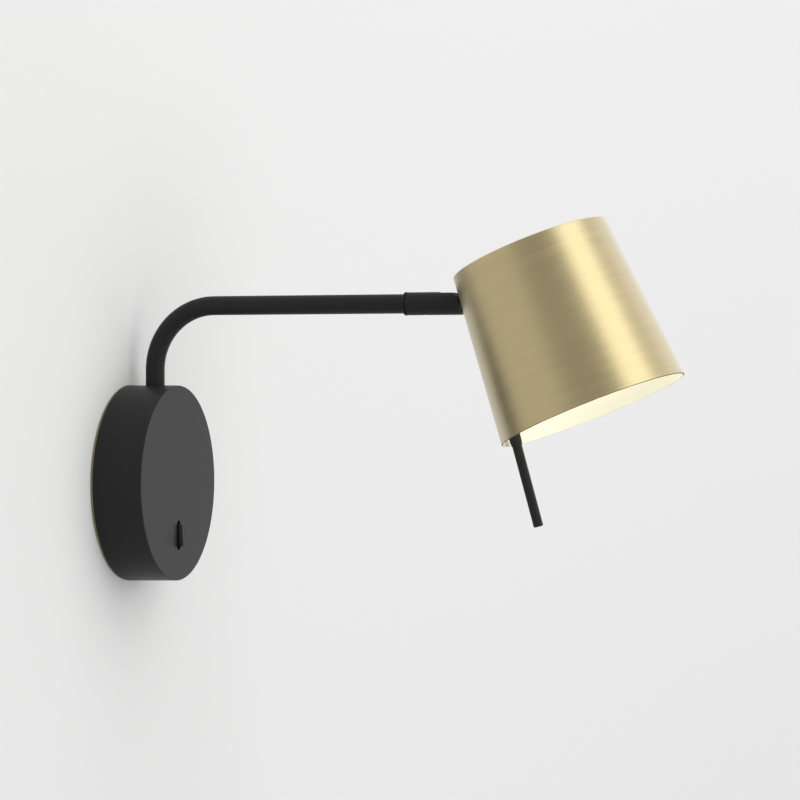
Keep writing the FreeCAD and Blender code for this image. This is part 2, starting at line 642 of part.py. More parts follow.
def stop_pin_places():
    """Where the pins stand, so that the finger meets one just past each end of the swing."""
    meeting = math.degrees(math.asin((STOP_FINGER_W / 2 + STOP_PIN_R) / STOP_PIN_RADIUS))
    angle = math.radians(SWING_LIMIT_DEG + meeting + STOP_MARGIN_DEG)
    depth = SWING_DEPTH + STOP_PIN_RADIUS * math.cos(angle)
    return [room(depth, side * STOP_PIN_RADIUS * math.sin(angle), LUG_LOW_Z) for side in (-1, 1)]


def swing_stop_pins():
    rise = Z_AXIS * (BRACKET_T + BUSH_FLANGE_T + STOP_PIN_H)
    return Part.makeCompound([rod(STOP_PIN_R, place, place + rise) for place in stop_pin_places()])


def stop_ring_screw_places():
    middle = STOP_RING_Z + STOP_RING_H / 2
    return room(SWING_DEPTH - TUBE_R, 0, middle), room(SWING_DEPTH - STOP_RING_R, 0, middle)


def swing_stop_ring():
    """A ring on the tube that rests on the lower bush, with a finger that meets the stop pins."""
    low, high = STOP_RING_Z, STOP_RING_Z + STOP_RING_H
    ring = rod(STOP_RING_R, room(SWING_DEPTH, 0, low), room(SWING_DEPTH, 0, high))
    half = STOP_FINGER_W / 2
    finger = block(-half, half, SWING_DEPTH, SWING_DEPTH + STOP_FINGER_R, low, high)
    tip, top = stop_ring_screw_places()
    cuts = [
        rod(TUBE_R, room(SWING_DEPTH, 0, low - OVERRUN), room(SWING_DEPTH, 0, high + OVERRUN)),
        rod(M3_R + THREAD_GAP, tip, top + Y_AXIS * OVERRUN),
    ]
    return fused(ring, finger).cut(cuts)


def stop_ring_screw():
    tip, top = stop_ring_screw_places()
    return grub_screw(M3_R, tip, top)


def foot_spring_washer():
    low, high = room(SWING_DEPTH, 0, FOOT_NUT_TOP_Z), room(SWING_DEPTH, 0, SPRING_WASHER_TOP_Z)
    return tube(SPRING_WASHER_R, TUBE_R + THREAD_GAP, low, high)


def foot_nut():
    top = room(SWING_DEPTH, 0, FOOT_NUT_TOP_Z)
    return hex_nut(FOOT_NUT_FLATS, TUBE_R, top - Z_AXIS * FOOT_NUT_T, top)


def arm_run(radius, inset, foot_z, end_depth):
    """A round bar that rises, bends once and runs out level; inset moves it to the bend's inside."""
    riser_depth = SWING_DEPTH + inset
    bend_depth = SWING_DEPTH + BEND_R
    bend_z = ARM_Z - BEND_R
    riser = rod(radius, room(riser_depth, 0, foot_z), room(riser_depth, 0, bend_z))
    disc = Part.Face(Part.Wire(Part.makeCircle(radius, room(riser_depth, 0, bend_z), Z_AXIS)))
    bend = disc.revolve(room(bend_depth, 0, bend_z), X_AXIS, 90)
    level = rod(radius, room(bend_depth, 0, ARM_Z - inset), room(end_depth, 0, ARM_Z - inset))
    return fused(riser, bend, level)


def arm_tube():
    outside = arm_run(TUBE_R, 0, TUBE_FOOT_Z, TUBE_END_DEPTH)
    return outside.cut(arm_run(TUBE_BORE_R, 0, TUBE_FOOT_Z - OVERRUN, TUBE_END_DEPTH + OVERRUN))


def arm_flex():
    """The sheathed flex, lying against the inside of the tube."""
    inset = TUBE_BORE_R - FLEX_R - TURN_GAP
    return arm_run(FLEX_R, inset, TUBE_FOOT_Z - FLEX_TAIL, TUBE_END_DEPTH - SPIGOT_L - FLEX_STOP)


def on_arm(depth, x=0.0, above=0.0):
    """A point at a depth along the level arm's axis, or beside it."""
    return room(depth, x, ARM_Z + above)


def arm_ferrule():
    """A plug in the tube's end with the journal that the collar turns on.

    A groove runs round the journal for the stop screw, broken by a land on top.
    """
    plug_depth, journal_end = TUBE_END_DEPTH - SPIGOT_L, FERRULE_END_DEPTH + JOURNAL_L
    spigot = rod(TUBE_BORE_R, on_arm(plug_depth), on_arm(TUBE_END_DEPTH))
    ring = rod(FERRULE_R, on_arm(TUBE_END_DEPTH), on_arm(FERRULE_END_DEPTH))
    rear = [edge for edge in ring.Edges if edge.BoundBox.YMin > -TUBE_END_DEPTH - FERRULE_EDGE]
    ring = ring.makeChamfer(FERRULE_EDGE, rear)
    journal = rod(JOURNAL_R, on_arm(FERRULE_END_DEPTH), on_arm(journal_end))
    low = FERRULE_END_DEPTH + ROLL_GROOVE_AT - ROLL_GROOVE_W / 2
    high = low + ROLL_GROOVE_W
    groove = tube(JOURNAL_R + OVERRUN, ROLL_GROOVE_R, on_arm(low), on_arm(high))
    left = math.radians(180 - ROLL_LIMIT_DEG)
    tip = ROLL_GROOVE_R + DOG_TIP_GAP
    land = tip * math.sin(left) - DOG_R * math.cos(left) - ROLL_LAND_GAP
    groove = groove.cut(block(-land, land, low, high, ARM_Z, ARM_Z + JOURNAL_R + OVERRUN))
    bore = rod(WIRE_BORE_R, on_arm(plug_depth - OVERRUN), on_arm(journal_end + OVERRUN))
    return fused(spigot, ring, journal).cut([groove, bore])


def roll_washer():
    start = FERRULE_END_DEPTH + SIDE_GAP
    return tube(ROLL_WASHER_R, JOURNAL_R + THREAD_GAP, on_arm(start), on_arm(start + ROLL_WASHER_T))


def nose_form():
    """What the collar keeps: all of it up to the nose, a square lower end and a round upper one."""
    centre_depth = PIN_DEPTH + NOSE_REACH - NOSE_R
    wide = 2 * COLLAR_R
    low, high = ARM_Z - wide, ARM_Z + wide
    behind = block(-wide, wide, COLLAR_START_DEPTH, centre_depth, low, high)
    under = block(-wide, wide, COLLAR_START_DEPTH, PIN_DEPTH + NOSE_REACH, low, ARM_Z - NOSE_DROP)
    centre = room(centre_depth, -wide, ARM_Z - NOSE_DROP)
    return fused(behind, under, rod(NOSE_R, centre, centre + X_AXIS * (2 * wide)))


def swivel_collar():
    """The collar: bored for the journal, slotted for the tongue, and rounded where the shade tips up."""
    start, end = COLLAR_START_DEPTH, PIN_DEPTH + NOSE_REACH
    body = rod(COLLAR_R, on_arm(start), on_arm(end))
    rear = [edge for edge in body.Edges if edge.BoundBox.YMin > -start - COLLAR_EDGE]
    body = body.makeChamfer(COLLAR_EDGE, rear)
    body = body.common(nose_form())
    bore_end = FERRULE_END_DEPTH + JOURNAL_L + BORE_END_GAP
    slot_back = PIN_DEPTH - EYE_R
    floor, high = -EYE_R - FORK_FLOOR_GAP, COLLAR_R + OVERRUN
    half = FORK_SLOT_W / 2
    head_r = M3_HEAD_R + THREAD_GAP
    screw_depth = FERRULE_END_DEPTH + ROLL_GROOVE_AT
    cuts = [
        rod(JOURNAL_R + TURN_GAP, on_arm(start - OVERRUN), on_arm(bore_end)),
        rod(WIRE_BORE_R, on_arm(bore_end - OVERRUN), on_arm(slot_back)),
        block(-half, half, slot_back, end + OVERRUN, ARM_Z + floor, ARM_Z + high),
        rod(half, on_arm(slot_back, 0, floor), on_arm(slot_back, 0, high)),
        rod(M3_R, on_arm(PIN_DEPTH, -HINGE_BLIND_X), on_arm(PIN_DEPTH, COLLAR_R)),
        rod(head_r, on_arm(PIN_DEPTH, HINGE_HEAD_X), on_arm(PIN_DEPTH, COLLAR_R + OVERRUN)),
        rod(M3_R + THREAD_GAP, on_arm(screw_depth), on_arm(screw_depth, 0, -COLLAR_R - OVERRUN)),
    ]
    return body.cut(cuts)


def roll_stop_screw():
    """A screw in the collar's underside whose dog point runs in the journal's groove."""
    depth = FERRULE_END_DEPTH + ROLL_GROOVE_AT
    shoulder = on_arm(depth, 0, -JOURNAL_R - 2 * TURN_GAP)
    tip = on_arm(depth, 0, -ROLL_GROOVE_R - DOG_TIP_GAP)
    top = on_arm(depth, 0, -COLLAR_R + COLLAR_EDGE)
    return fused(grub_screw(M3_R, shoulder, top), rod(DOG_R, tip, shoulder))


def hinge_screw():
    """The knuckle's pin: a screw through both ears, its socket head sunk in one."""
    head_top = HINGE_HEAD_X + M3_HEAD_H
    shank = rod(M3_R, on_arm(PIN_DEPTH, -HINGE_BLIND_X), on_arm(PIN_DEPTH, HINGE_HEAD_X))
    head = rod(M3_HEAD_R, on_arm(PIN_DEPTH, HINGE_HEAD_X), on_arm(PIN_DEPTH, head_top))
    key_bottom = on_arm(PIN_DEPTH, head_top - HEX_KEY_DEPTH)
    key = hexagon(HEX_KEY_FLATS, key_bottom, on_arm(PIN_DEPTH, head_top + OVERRUN))
    return fused(shank, head).cut(key)


def tilt_washers():
    inner = TONGUE_T / 2 + SIDE_GAP
    washers = []
    for side in (-1, 1):
        near, far = side * inner, side * (inner + TILT_WASHER_T)
        washers.append(tube(EYE_R, M3_R + THREAD_GAP, on_arm(PIN_DEPTH, near), on_arm(PIN_DEPTH, far)))
    return Part.makeCompound(washers)


# The pieces of the head are made with the shade upright and the hinge pin's axis along X through the
# origin; "depth" is then the distance in front of the pin. hung() tips them and puts them in place.


def hung(shape):
    return moved(shape, on_arm(PIN_DEPTH), FreeCAD.Rotation(X_AXIS, -SHADE_TILT_DEG))


def square_to_wall(shape):
    """Turns a piece made along the depth so that it meets the sloping rear wall squarely."""
    return moved(shape, room(0), FreeCAD.Rotation(X_AXIS, SHADE_HALF_DEG))


def shade_cone(inset, low, high):
    """A solid cone that follows the shade's taper, smaller by an inset."""
    low_radius = SHADE_TOP_R + (SHADE_TOP_RISE - low) * SHADE_SLOPE - inset
    high_radius = SHADE_TOP_R + (SHADE_TOP_RISE - high) * SHADE_SLOPE - inset
    return cone(low_radius, high_radius, room(SHADE_AXIS_AT, 0, low), room(SHADE_AXIS_AT, 0, high))


def wall_holes():
    """The holes for the stud and the wires, through the rear wall and the strip."""
    far = NUT_AT + M3_NUT_T
    stud = rod(M3_R + THREAD_GAP, room(0), room(far))
    wires = rod(WIRE_BUSH_R, room(0, 0, -WIRE_HOLE_DROP), room(far, 0, -WIRE_HOLE_DROP))
    return [square_to_wall(stud), square_to_wall(wires)]


def shade():
    outer = shade_cone(0, RIM_Z, SHADE_TOP_RISE)
    outer = outer.makeFillet(SHADE_EDGE_R, [edge for edge in outer.Edges if edge.BoundBox.ZMin > 0])
    rim = [edge for edge in outer.Edges if edge.BoundBox.ZMax < RIM_Z + RIM_EDGE]
    outer = outer.makeChamfer(RIM_EDGE, rim)
    inner = shade_cone(SHADE_SHEET, RIM_Z - OVERRUN, SHADE_TOP_RISE - SHADE_SHEET)
    return hung(outer.cut([inner] + wall_holes()))


def knuckle_tongue():
    """The eye on the hinge screw, its neck ending on the shade's wall, and the stud through the wall."""
    half = TONGUE_T / 2
    eye = rod(EYE_R, room(0, -half), room(0, half))
    neck = block(-half, half, 0, SHADE_WALL_SQUARE + STRIP_T, -NECK_HALF_H, NECK_HALF_H)
    solid = square_to_wall(fused(eye, neck)).cut(shade_cone(0, RIM_Z, SHADE_TOP_RISE))
    stud = rod(M3_R, room(SHADE_WALL_SQUARE - TONGUE_T), room(NUT_AT + M3_NUT_T + STUD_OUT))
    bore = rod(M3_R + TURN_GAP, room(0, -TONGUE_T), room(0, TONGUE_T))
    return hung(fused(solid, square_to_wall(stud)).cut(bore))


def knuckle_nut():
    nut = hex_nut(M3_NUT_FLATS, M3_R + THREAD_GAP, room(NUT_AT), room(NUT_AT + M3_NUT_T))
    return hung(square_to_wall(nut))


def wire_bush():
    start = SHADE_WALL_SQUARE
    bush_tube = tube(
        WIRE_BUSH_R, WIRE_BUSH_R - WIRE_BUSH_WALL,
        room(start, 0, -WIRE_HOLE_DROP), room(start + WIRE_BUSH_L, 0, -WIRE_HOLE_DROP),
    )
    return hung(square_to_wall(bush_tube))


def lead_entry(x, past_side):
    """A point on a lead's way into the lampholder, past the holder's rear side."""
    return room(SHADE_AXIS_AT - HOLDER_R + past_side, x, SHELF_Z - LEAD_UNDER_SHELF)


def lead_xs():
    return (-LEAD_PITCH / 2, LEAD_PITCH / 2)


def head_leads():
    """Two insulated leads, from the wire bush to the lampholder."""
    turn = FreeCAD.Rotation(X_AXIS, SHADE_HALF_DEG)
    bush_end = SHADE_WALL_SQUARE + WIRE_BUSH_L
    leads = []
    for x in lead_xs():
        start = turn.multVec(room(SHADE_WALL_SQUARE, x, -WIRE_HOLE_DROP))
        corner = turn.multVec(room(bush_end + LEAD_BEND_PAST_BUSH, x, -WIRE_HOLE_DROP))
        points = [start, corner, lead_entry(x, -LEAD_BEND_TO_HOLDER), lead_entry(x, LEAD_IN_HOLDER)]
        leads.append(bent_bar(LEAD_R, points, LEAD_BEND_R))
    return hung(Part.makeCompound(leads))


def holder_screw_xs():
    return (-HOLDER_SCREW_X, HOLDER_SCREW_X)


def head_bracket():
    """A steel strip curved to the rear wall, with a shelf at its top that carries the lampholder."""
    low = RIM_Z + STRIP_BOTTOM_RISE
    half = STRIP_W / 2
    outside = shade_cone(STRIP_INSET, low, SHELF_TOP_Z)
    bent = outside.cut(shade_cone(STRIP_INSET + STRIP_T, low - OVERRUN, SHELF_TOP_Z + OVERRUN))
    strip = bent.common(block(-half, half, -OVERRUN, SHADE_AXIS_AT / 2, low, SHELF_TOP_Z))
    arm = block(-half, half, -OVERRUN, SHADE_AXIS_AT, SHELF_Z, SHELF_TOP_Z).common(outside)
    pad = rod(SHELF_END_R, room(SHADE_AXIS_AT, 0, SHELF_Z), room(SHADE_AXIS_AT, 0, SHELF_TOP_Z))
    cuts = wall_holes()
    for x in holder_screw_xs():
        low, high = SHELF_Z - OVERRUN, SHELF_TOP_Z + OVERRUN
        cuts.append(rod(M3_R + THREAD_GAP, room(SHADE_AXIS_AT, x, low), room(SHADE_AXIS_AT, x, high)))
    return hung(fused(strip, arm, pad).cut(cuts))


def lamp_pin_blocks(gap, top_z):
    """The lamp's two flat pins, or with a gap the holder's slots for them."""
    half_w, half_t = LAMP_PIN_W / 2 + gap, LAMP_PIN_T / 2 + gap
    near, far = SHADE_AXIS_AT - half_t, SHADE_AXIS_AT + half_t
    xs = (-LAMP_PIN_PITCH / 2, LAMP_PIN_PITCH / 2)
    return [block(x - half_w, x + half_w, near, far, top_z, top_z + LAMP_PIN_L + gap) for x in xs]


def lampholder():
    """A ceramic body under the shelf, with a pocket, two slots for the lamp and two holes for the leads."""
    low = SHELF_Z - HOLDER_H
    body = rod(HOLDER_R, room(SHADE_AXIS_AT, 0, low), room(SHADE_AXIS_AT, 0, SHELF_Z))
    body = body.makeChamfer(HOLDER_EDGE, [edge for edge in body.Edges if edge.BoundBox.ZLength < HOLDER_EDGE])
    pocket_r = LAMP_BASE_R + LAMP_POCKET_GAP
    pocket_top = room(SHADE_AXIS_AT, 0, LAMP_TOP_Z)
    cuts = [rod(pocket_r, room(SHADE_AXIS_AT, 0, low - OVERRUN), pocket_top)]
    cuts += lamp_pin_blocks(LAMP_POCKET_GAP, LAMP_TOP_Z)
    for x in holder_screw_xs():
        bottom = room(SHADE_AXIS_AT, x, SHELF_Z - HOLDER_SCREW_L)
        cuts.append(rod(M3_R + THREAD_GAP, bottom, room(SHADE_AXIS_AT, x, SHELF_Z)))
    for x in lead_xs():
        mouth, end = lead_entry(x, -OVERRUN), lead_entry(x, LEAD_IN_HOLDER + THREAD_GAP)
        cuts.append(rod(LEAD_R + THREAD_GAP, mouth, end))
    return hung(body.cut(cuts))


def lampholder_screws():
    screws = []
    for x in holder_screw_xs():
        tip = room(SHADE_AXIS_AT, x, SHELF_Z - HOLDER_SCREW_L + THREAD_GAP)
        screws.append(slotted_screw(M3_R, M3_HEAD_R, M3_HEAD_H, tip, room(SHADE_AXIS_AT, x, SHELF_TOP_Z)))
    return hung(Part.makeCompound(screws))


def lamp_base():
    bottom = room(SHADE_AXIS_AT, 0, LAMP_TOP_Z - LAMP_BASE_H)
    body = rod(LAMP_BASE_R, bottom, room(SHADE_AXIS_AT, 0, LAMP_TOP_Z))
    return hung(fused(body, *lamp_pin_blocks(0, LAMP_TOP_Z)))


def lamp_envelope():
    """The frosted envelope, a short tube with a domed end."""
    top = LAMP_TOP_Z - LAMP_BASE_H
    dome_z = top - LAMP_H + LAMP_R
    body = rod(LAMP_R, room(SHADE_AXIS_AT, 0, dome_z), room(SHADE_AXIS_AT, 0, top))
    dome = Part.makeSphere(LAMP_R, room(SHADE_AXIS_AT, 0, dome_z))
    return hung(fused(body, dome))


def handle_point(below_rim):
    """A point on the handle's axis, a distance along it below the rim's plane."""
    lean = math.radians(HANDLE_LEAN_DEG)
    depth = SHADE_AXIS_AT - SHADE_BOTTOM_R + HANDLE_FROM_WALL - below_rim * math.sin(lean)
    return room(depth, 0, RIM_Z - below_rim * math.cos(lean))


def handle_socket():
    """A turned socket beside the rear wall, with a foot that meets the strip."""
    cylinder_end = -SOCKET_CYLINDER_END
    barrel = rod(SOCKET_R, handle_point(-SOCKET_UP), handle_point(cylinder_end))
    mouth_r = HANDLE_R + THREAD_GAP + SOCKET_MOUTH_WALL
    taper = cone(SOCKET_R, mouth_r, handle_point(cylinder_end), handle_point(SOCKET_TAPER_END))
    foot_low = RIM_Z + SOCKET_FOOT_LOW
    half = SOCKET_FOOT_W / 2
    foot = block(-half, half, -OVERRUN, -handle_point(-SOCKET_UP / 2).y, foot_low, foot_low + SOCKET_FOOT_H)
    foot = foot.common(shade_cone(STRIP_INSET + STRIP_T, RIM_Z, SHADE_TOP_RISE))
    bore_end = handle_point(SOCKET_TAPER_END + OVERRUN)
    bore = rod(HANDLE_R + THREAD_GAP, handle_point(-HANDLE_IN_SOCKET), bore_end)
    return hung(fused(barrel, taper, foot).cut(bore))


def handle_rod():
    bar = rod(HANDLE_R, handle_point(-HANDLE_IN_SOCKET), handle_point(HANDLE_OUT))
    tip_z = handle_point(HANDLE_OUT - HANDLE_R).z
    return hung(bar.makeFillet(HANDLE_TIP_R, [edge for edge in bar.Edges if edge.BoundBox.ZMax < tip_z]))


PIECES = [
    wall_plate, cable_grommet, cover, cover_screw, switch_body, switch_nuts, switch_blades, switch_lever,
    terminal_block, terminal_screws, earth_washer, earth_screw, arm_bracket, bracket_screws, lower_bush,
    upper_bush, swing_stop_pins, swing_stop_ring, stop_ring_screw, foot_spring_washer, foot_nut, arm_tube,
    arm_flex, arm_ferrule, roll_washer, swivel_collar, roll_stop_screw, hinge_screw, tilt_washers,
    knuckle_tongue, knuckle_nut, wire_bush, shade, head_bracket, lampholder, lampholder_screws, head_leads,
    lamp_base, lamp_envelope, handle_socket, handle_rod,
]


def main():
    os.makedirs("parts", exist_ok=True)
    for piece in PIECES:
        shape = piece()
        shape.exportStep("parts/" + piece.__name__ + ".step")


main()
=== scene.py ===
import json
import math

import bpy
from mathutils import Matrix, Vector


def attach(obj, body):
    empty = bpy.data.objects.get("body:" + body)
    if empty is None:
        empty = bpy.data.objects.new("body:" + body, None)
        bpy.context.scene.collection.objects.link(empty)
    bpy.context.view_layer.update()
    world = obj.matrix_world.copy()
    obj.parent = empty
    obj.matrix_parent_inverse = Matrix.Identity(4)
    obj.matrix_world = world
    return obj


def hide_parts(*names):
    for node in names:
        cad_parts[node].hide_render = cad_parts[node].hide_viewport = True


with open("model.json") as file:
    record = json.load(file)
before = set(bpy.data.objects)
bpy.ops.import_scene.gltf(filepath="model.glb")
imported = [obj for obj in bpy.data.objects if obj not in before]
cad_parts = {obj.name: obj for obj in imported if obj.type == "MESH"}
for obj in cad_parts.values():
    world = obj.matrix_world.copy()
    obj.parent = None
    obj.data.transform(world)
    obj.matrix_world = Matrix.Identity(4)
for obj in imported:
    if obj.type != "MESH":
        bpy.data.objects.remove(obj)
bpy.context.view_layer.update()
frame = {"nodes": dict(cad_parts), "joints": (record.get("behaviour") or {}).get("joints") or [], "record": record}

# A swing arm wall lamp on a pale wall. Its solid pieces come with the frame and get their finishes
# here, and a joined copy of the shade's mesh stands for the shade. The frame has +Z up, the wall at
# +Y and the arm along -Y, in metres.
MM = 0.001
TILT_PIN = Vector(next(j["pos_m"] for j in frame["joints"] if j["name"] == "head_tilt"))

# The camera, with its sensor and lens in millimetres
CAMERA_HEADING_DEG = -71.83
CAMERA_RISE_DEG = 0.075
CAMERA_DISTANCE = 2.0
CAMERA_LOOKS_AT = Vector((0.0560, -0.1615, 0.0523))
CAMERA_SENSOR = 36.0
CAMERA_LENS = 141.74
CAMERA_SEES_FROM = 0.05
CAMERA_SEES_TO = 50.0

# The shade, as it hangs from the hinge pin
SHADE_LEAN = math.radians(22.255)
SHADE_TOP_RISE = 10.93 * MM
SHADE_AXIS_OUT = 59.79 * MM
SHADE_TOP_R = 49.5 * MM
SHADE_BOTTOM_R = 59.25 * MM
SHADE_H = 106.0 * MM
SHADE_SHEET = 1.0 * MM
SHADE_AXIS = Vector((0, math.sin(SHADE_LEAN), math.cos(SHADE_LEAN)))
RIM_EDGE = 0.3 * MM
PAINTED_FROM = 0.75  # through the sheet, as the enamel wraps over the rim
SEAM_GAP = 0.001 * MM
SHARP_OVER_DEG = 35

# The stage
WALL_BEHIND = 0.5 * MM
WALL_BOX_R = 59.0 * MM
WALL_LOW_X = -1.2
WALL_HIGH_X = 4.0
WALL_TOP = 4.0
FLOOR_Z = -2.2
FLOOR_SIZE = 12.0

# The lights all stand this far from the lamp's middle, and the studio round them is this bright
LAMP_MIDDLE = Vector((0, -0.2, 0.07))
LIGHT_DISTANCE = 4.0
WORLD_STRENGTH = 0.46

# Noise runs from 0 to 1 but keeps mostly between these
NOISE_LOW = 0.3
NOISE_HIGH = 0.7

# How bright the lit lamp is, where 1 is the white of paper
LAMP_GLOW = 11.5


def colour(hex_code):
    """An sRGB hex colour as linear values."""
    channels = [int(hex_code[i:i + 2], 16) / 255 for i in (1, 3, 5)]
    linear = [c / 12.92 if c <= 0.04045 else ((c + 0.055) / 1.055) ** 2.4 for c in channels]
    return (*linear, 1)


def add(tree, kind, links=None, **settings):
    """Adds a node. Links maps an input to an output socket or to a value."""
    made = tree.nodes.new("ShaderNode" + kind)
    for name, value in settings.items():
        setattr(made, name, value)
    for name, value in (links or {}).items():
        if isinstance(value, bpy.types.NodeSocket):
            tree.links.new(value, made.inputs[name])
        else:
            made.inputs[name].default_value = value
    return made


def new_finish(name, hex_code, metallic, roughness, specular=0.5):
    """A material with one shader, its colour and main values set."""
    material = bpy.data.materials.new(name)
    material.use_nodes = True
    shader = material.node_tree.nodes["Principled BSDF"]
    shader.inputs["Base Color"].default_value = colour(hex_code)
    shader.inputs["Metallic"].default_value = metallic
    shader.inputs["Roughness"].default_value = roughness
    shader.inputs["Specular IOR Level"].default_value = specular
    return material, material.node_tree, shader


def grain(tree, size, stretch=(1, 1, 1), detail=2.0, place=None):
    """Noise with features of a real size, drawn out along each axis where stretch is over 1."""
    source = place or add(tree, "TexCoord").outputs["Object"]
    scale = [1 / (size * s) for s in stretch]
    scaled = add(tree, "Mapping", {"Vector": source, "Scale": scale}).outputs[0]
    noise = add(tree, "TexNoise", {"Vector": scaled, "Scale": 1.0, "Detail": detail})
    return noise.outputs["Fac"]


def mottle(tree, shader, noise, hex_low, hex_high, socket="Base Color"):
    """Clouds a shader's colour between two near ones."""
    share = add(tree, "MapRange", {"Value": noise, "From Min": NOISE_LOW, "From Max": NOISE_HIGH})
    links = {"Factor": share.outputs["Result"], "A": colour(hex_low), "B": colour(hex_high)}
    mix = add(tree, "Mix", links, data_type="RGBA")
    tree.links.new(mix.outputs["Result"], shader.inputs[socket])


def vary_gloss(tree, shader, noise, low, high):
    """Lets the roughness of a surface wander between two values."""
    links = {"Value": noise, "From Min": NOISE_LOW, "From Max": NOISE_HIGH}
    rough = add(tree, "MapRange", {**links, "To Min": low, "To Max": high})
    tree.links.new(rough.outputs["Result"], shader.inputs["Roughness"])


def relief(tree, shader, height, depth, strength):
    """Raises a surface by a height of up to a depth in metres."""
    made = add(tree, "Bump", {"Height": height, "Distance": depth, "Strength": strength})
    tree.links.new(made.outputs["Normal"], shader.inputs["Normal"])


def either(tree, share, first, second):
    """Shows the first shader where a share is 0, and the second where it is 1."""
    mix = add(tree, "MixShader", {0: share, 1: first.outputs[0], 2: second.outputs[0]})
    tree.links.new(mix.outputs[0], tree.nodes["Material Output"].inputs["Surface"])
    return mix


def satin_powder_coat():
    """Steel with a baked polyester powder, satin black.

    The powder flows out to a faint orange peel, which breaks up the edge of each reflection. Its
    grains are finer than the 0.35 mm that they are drawn at to show.
    """
    material, tree, shader = new_finish("satin_powder_coat", "#292929", 0.0, 0.42, specular=0.1)
    peel = grain(tree, 1.1 * MM)
    grains = grain(tree, 0.35 * MM, detail=1.0)
    vary_gloss(tree, shader, peel, 0.38, 0.46)
    height = add(tree, "Math", {0: peel, 1: grains}, operation="ADD").outputs[0]
    relief(tree, shader, height, 0.01 * MM, 0.5)
    return material


def shade_point(out, rise):
    """A point on the head, given in front of the hinge pin and above it with the shade upright."""
    y = -out * math.cos(SHADE_LEAN) + rise * math.sin(SHADE_LEAN)
    z = out * math.sin(SHADE_LEAN) + rise * math.cos(SHADE_LEAN)
    return Vector((0, y, z))


def inside_of_shade(tree, along, height):
    """1 on the shade's inner faces and the inner part of its rim, 0 on its outer faces."""
    flat = add(tree, "VectorMath", {0: along, 1: (1, 1, 0)}, operation="MULTIPLY").outputs[0]
    radius = add(tree, "VectorMath", {0: flat}, operation="LENGTH").outputs["Value"]
    slope = (SHADE_BOTTOM_R - SHADE_TOP_R) / SHADE_H
    painted_r = SHADE_TOP_R - SHADE_SHEET * PAINTED_FROM
    wall = add(tree, "Math", {0: height, 1: -slope, 2: painted_r}, operation="MULTIPLY_ADD")
    within = add(tree, "Math", {0: radius, 1: wall.outputs[0]}, operation="LESS_THAN").outputs[0]
    below = add(tree, "Math", {0: height, 1: -SHADE_SHEET / 2}, operation="LESS_THAN").outputs[0]
    return add(tree, "Math", {0: within, 1: below}, operation="MULTIPLY").outputs[0]


def brush_strokes(tree, brass, along):
    """Fine strokes round the shade, which tint the brass, vary its gloss and groove it."""
    fine = grain(tree, 0.35 * MM, stretch=(80, 80, 1), detail=3.0, place=along)
    broad = grain(tree, 1.4 * MM, stretch=(60, 60, 1), place=along)
    both = add(tree, "Math", {0: fine, 1: broad}, operation="ADD").outputs[0]
    mean = add(tree, "Math", {0: both, 1: 0.5}, operation="MULTIPLY").outputs[0]
    mottle(tree, brass, mean, "#b2a274", "#c2b180")
    vary_gloss(tree, brass, mean, 0.38, 0.46)
    relief(tree, brass, fine, 0.008 * MM, 0.6)


def shade_brass_and_paint():
    """Spun brass, brushed round its axis and lacquered, with white stove enamel inside.

    Each stroke of the brush is a hair-fine groove, so the light spreads up and down the shade more
    than round it. Real strokes are about 0.1 mm; they are drawn 0.35 mm thick to show. The lacquer
    whitens the shade's sides. The outer part of the rim's edge is bare of lacquer and enamel, and is
    painted dark brown there as painted shade, for an edge that faces down away from the light.
    """
    material, tree, brass = new_finish("brushed_lacquered_brass", "#bbac7f", 1.0, 0.42)
    place = add(tree, "TexCoord").outputs["Object"]
    top = TILT_PIN + shade_point(SHADE_AXIS_OUT, SHADE_TOP_RISE)
    links = {"Vector": place, "Location": top, "Rotation": (-SHADE_LEAN, 0, 0)}
    along = add(tree, "Mapping", links, vector_type="TEXTURE").outputs[0]
    height = add(tree, "SeparateXYZ", {0: along}).outputs["Z"]

    brush_strokes(tree, brass, along)
    brass.inputs["Anisotropic"].default_value = 0.5
    brass.inputs["Coat Weight"].default_value = 1.0
    brass.inputs["Coat Roughness"].default_value = 0.35
    brass.inputs["Coat IOR"].default_value = 1.65
    axis = add(tree, "CombineXYZ", {0: SHADE_AXIS.x, 1: SHADE_AXIS.y, 2: SHADE_AXIS.z})
    upright = add(
        tree, "VectorTransform", {"Vector": axis.outputs[0]},
        vector_type="VECTOR", convert_from="OBJECT", convert_to="WORLD",
    )
    tree.links.new(upright.outputs[0], brass.inputs["Tangent"])

    enamel = add(tree, "BsdfPrincipled", {"Base Color": colour("#f3f0e6"), "Roughness": 0.45})
    relief(tree, enamel, grain(tree, 1.2 * MM, place=along), 0.01 * MM, 0.4)
    # The outer part of the rim's edge, painted dark brown as painted shade where it faces down
    edge_shade = add(tree, "BsdfPrincipled", {"Metallic": 1.0, "Roughness": 0.5})
    mottle(tree, edge_shade, grain(tree, 3 * MM, place=along), "#4e432e", "#62543a")

    links = {0: height, 1: RIM_EDGE - SHADE_H}
    rim = add(tree, "Math", links, operation="LESS_THAN").outputs[0]
    brass_and_edge_shade = either(tree, rim, brass, edge_shade)
    either(tree, inside_of_shade(tree, along, height), brass_and_edge_shade, enamel)
    return material


def passivated_steel_with_painted_shade():
    """Pressed steel, zinc plated and yellow passivated.

    The passivation lies in clouds, from grey to straw, over the faint lines of the rolled sheet. The
    colour is kept dark and dull as painted shade, for the narrow gap between the cover and the wall.
    """
    # Darker and duller than the plating alone: painted shade for the gap behind the cover
    material, tree, shader = new_finish("passivated_steel_with_painted_shade", "#958a6d", 1.0, 0.45)
    mottle(tree, shader, grain(tree, 14 * MM, detail=3.0), "#8b8067", "#9f9373")
    vary_gloss(tree, shader, grain(tree, 0.5 * MM, stretch=(30, 1, 1)), 0.32, 0.46)
    return material


